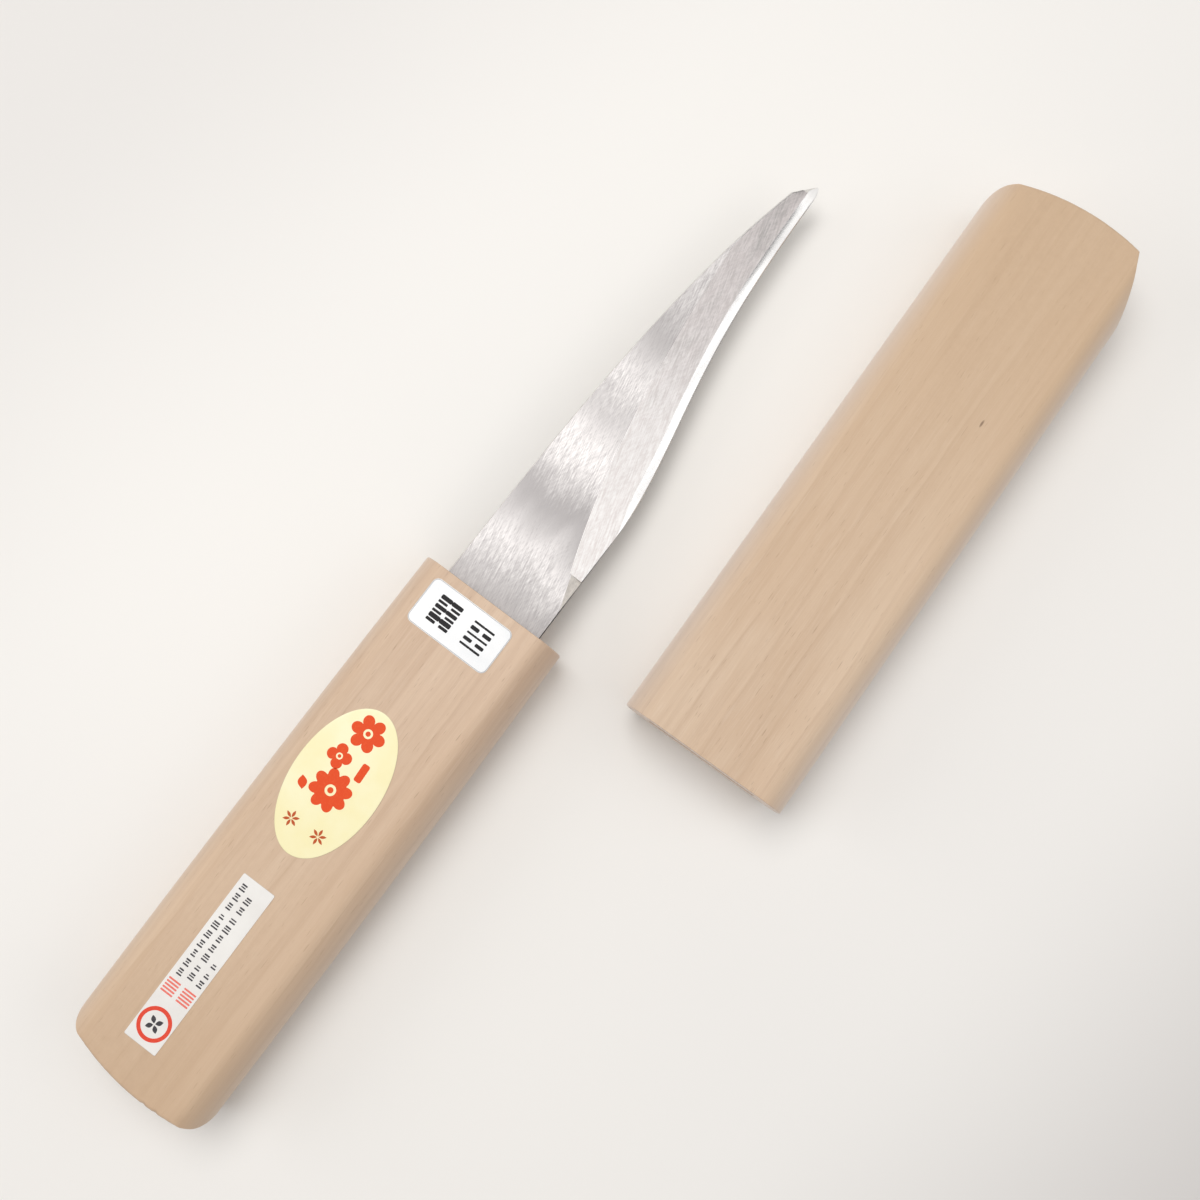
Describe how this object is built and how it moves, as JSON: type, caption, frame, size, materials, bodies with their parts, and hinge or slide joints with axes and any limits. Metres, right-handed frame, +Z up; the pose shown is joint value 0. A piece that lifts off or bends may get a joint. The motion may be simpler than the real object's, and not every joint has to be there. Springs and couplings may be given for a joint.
{
  "type": "chip carving knife",
  "caption": "Straight carving knife with a wide single-bevel blade in a rounded wooden handle, and a wooden slip-on sheath lying beside it.",
  "frame": {"origin": "middle of the footprint of the knife and the sheath beside it, on the surface they lie on", "axes": "+X along the knife from butt to tip, +Y towards the blade's spine, +Z up out of the bevelled face"},
  "size_m": [0.2726, 0.0952, 0.0201],
  "materials": {
    "handle_wood": "planed smooth, unvarnished pale hardwood",
    "handle_wood_back": "planed smooth, unvarnished pale hardwood",
    "blade_iron": "ground satin, with scratches along the blade",
    "blade_steel": "polished along the edge",
    "grade_label": "semi-gloss printed sticker",
    "oval_label": "semi-gloss printed sticker",
    "strip_label": "semi-gloss printed sticker",
    "sheath_wood": "planed smooth, unvarnished pale hardwood",
    "sheath_wood_back": "planed smooth, unvarnished pale hardwood"
  },
  "bodies": {
    "knife": {"handle_front_half": "handle_wood", "handle_back_half": "handle_wood_back", "blade_iron": "blade_iron", "blade_steel": "blade_steel", "grade_label": "grade_label", "oval_label": "oval_label", "strip_label": "strip_label"},
    "sheath": {"sheath_front_half": "sheath_wood", "sheath_back_half": "sheath_wood_back"}
  },
  "joints": [
    {"name": "sheath_draw", "type": "slide", "parent": "knife", "child": "sheath", "axis": [0.9998, 0.0209, 0], "range_m": [0, 0.126]}
  ]
}
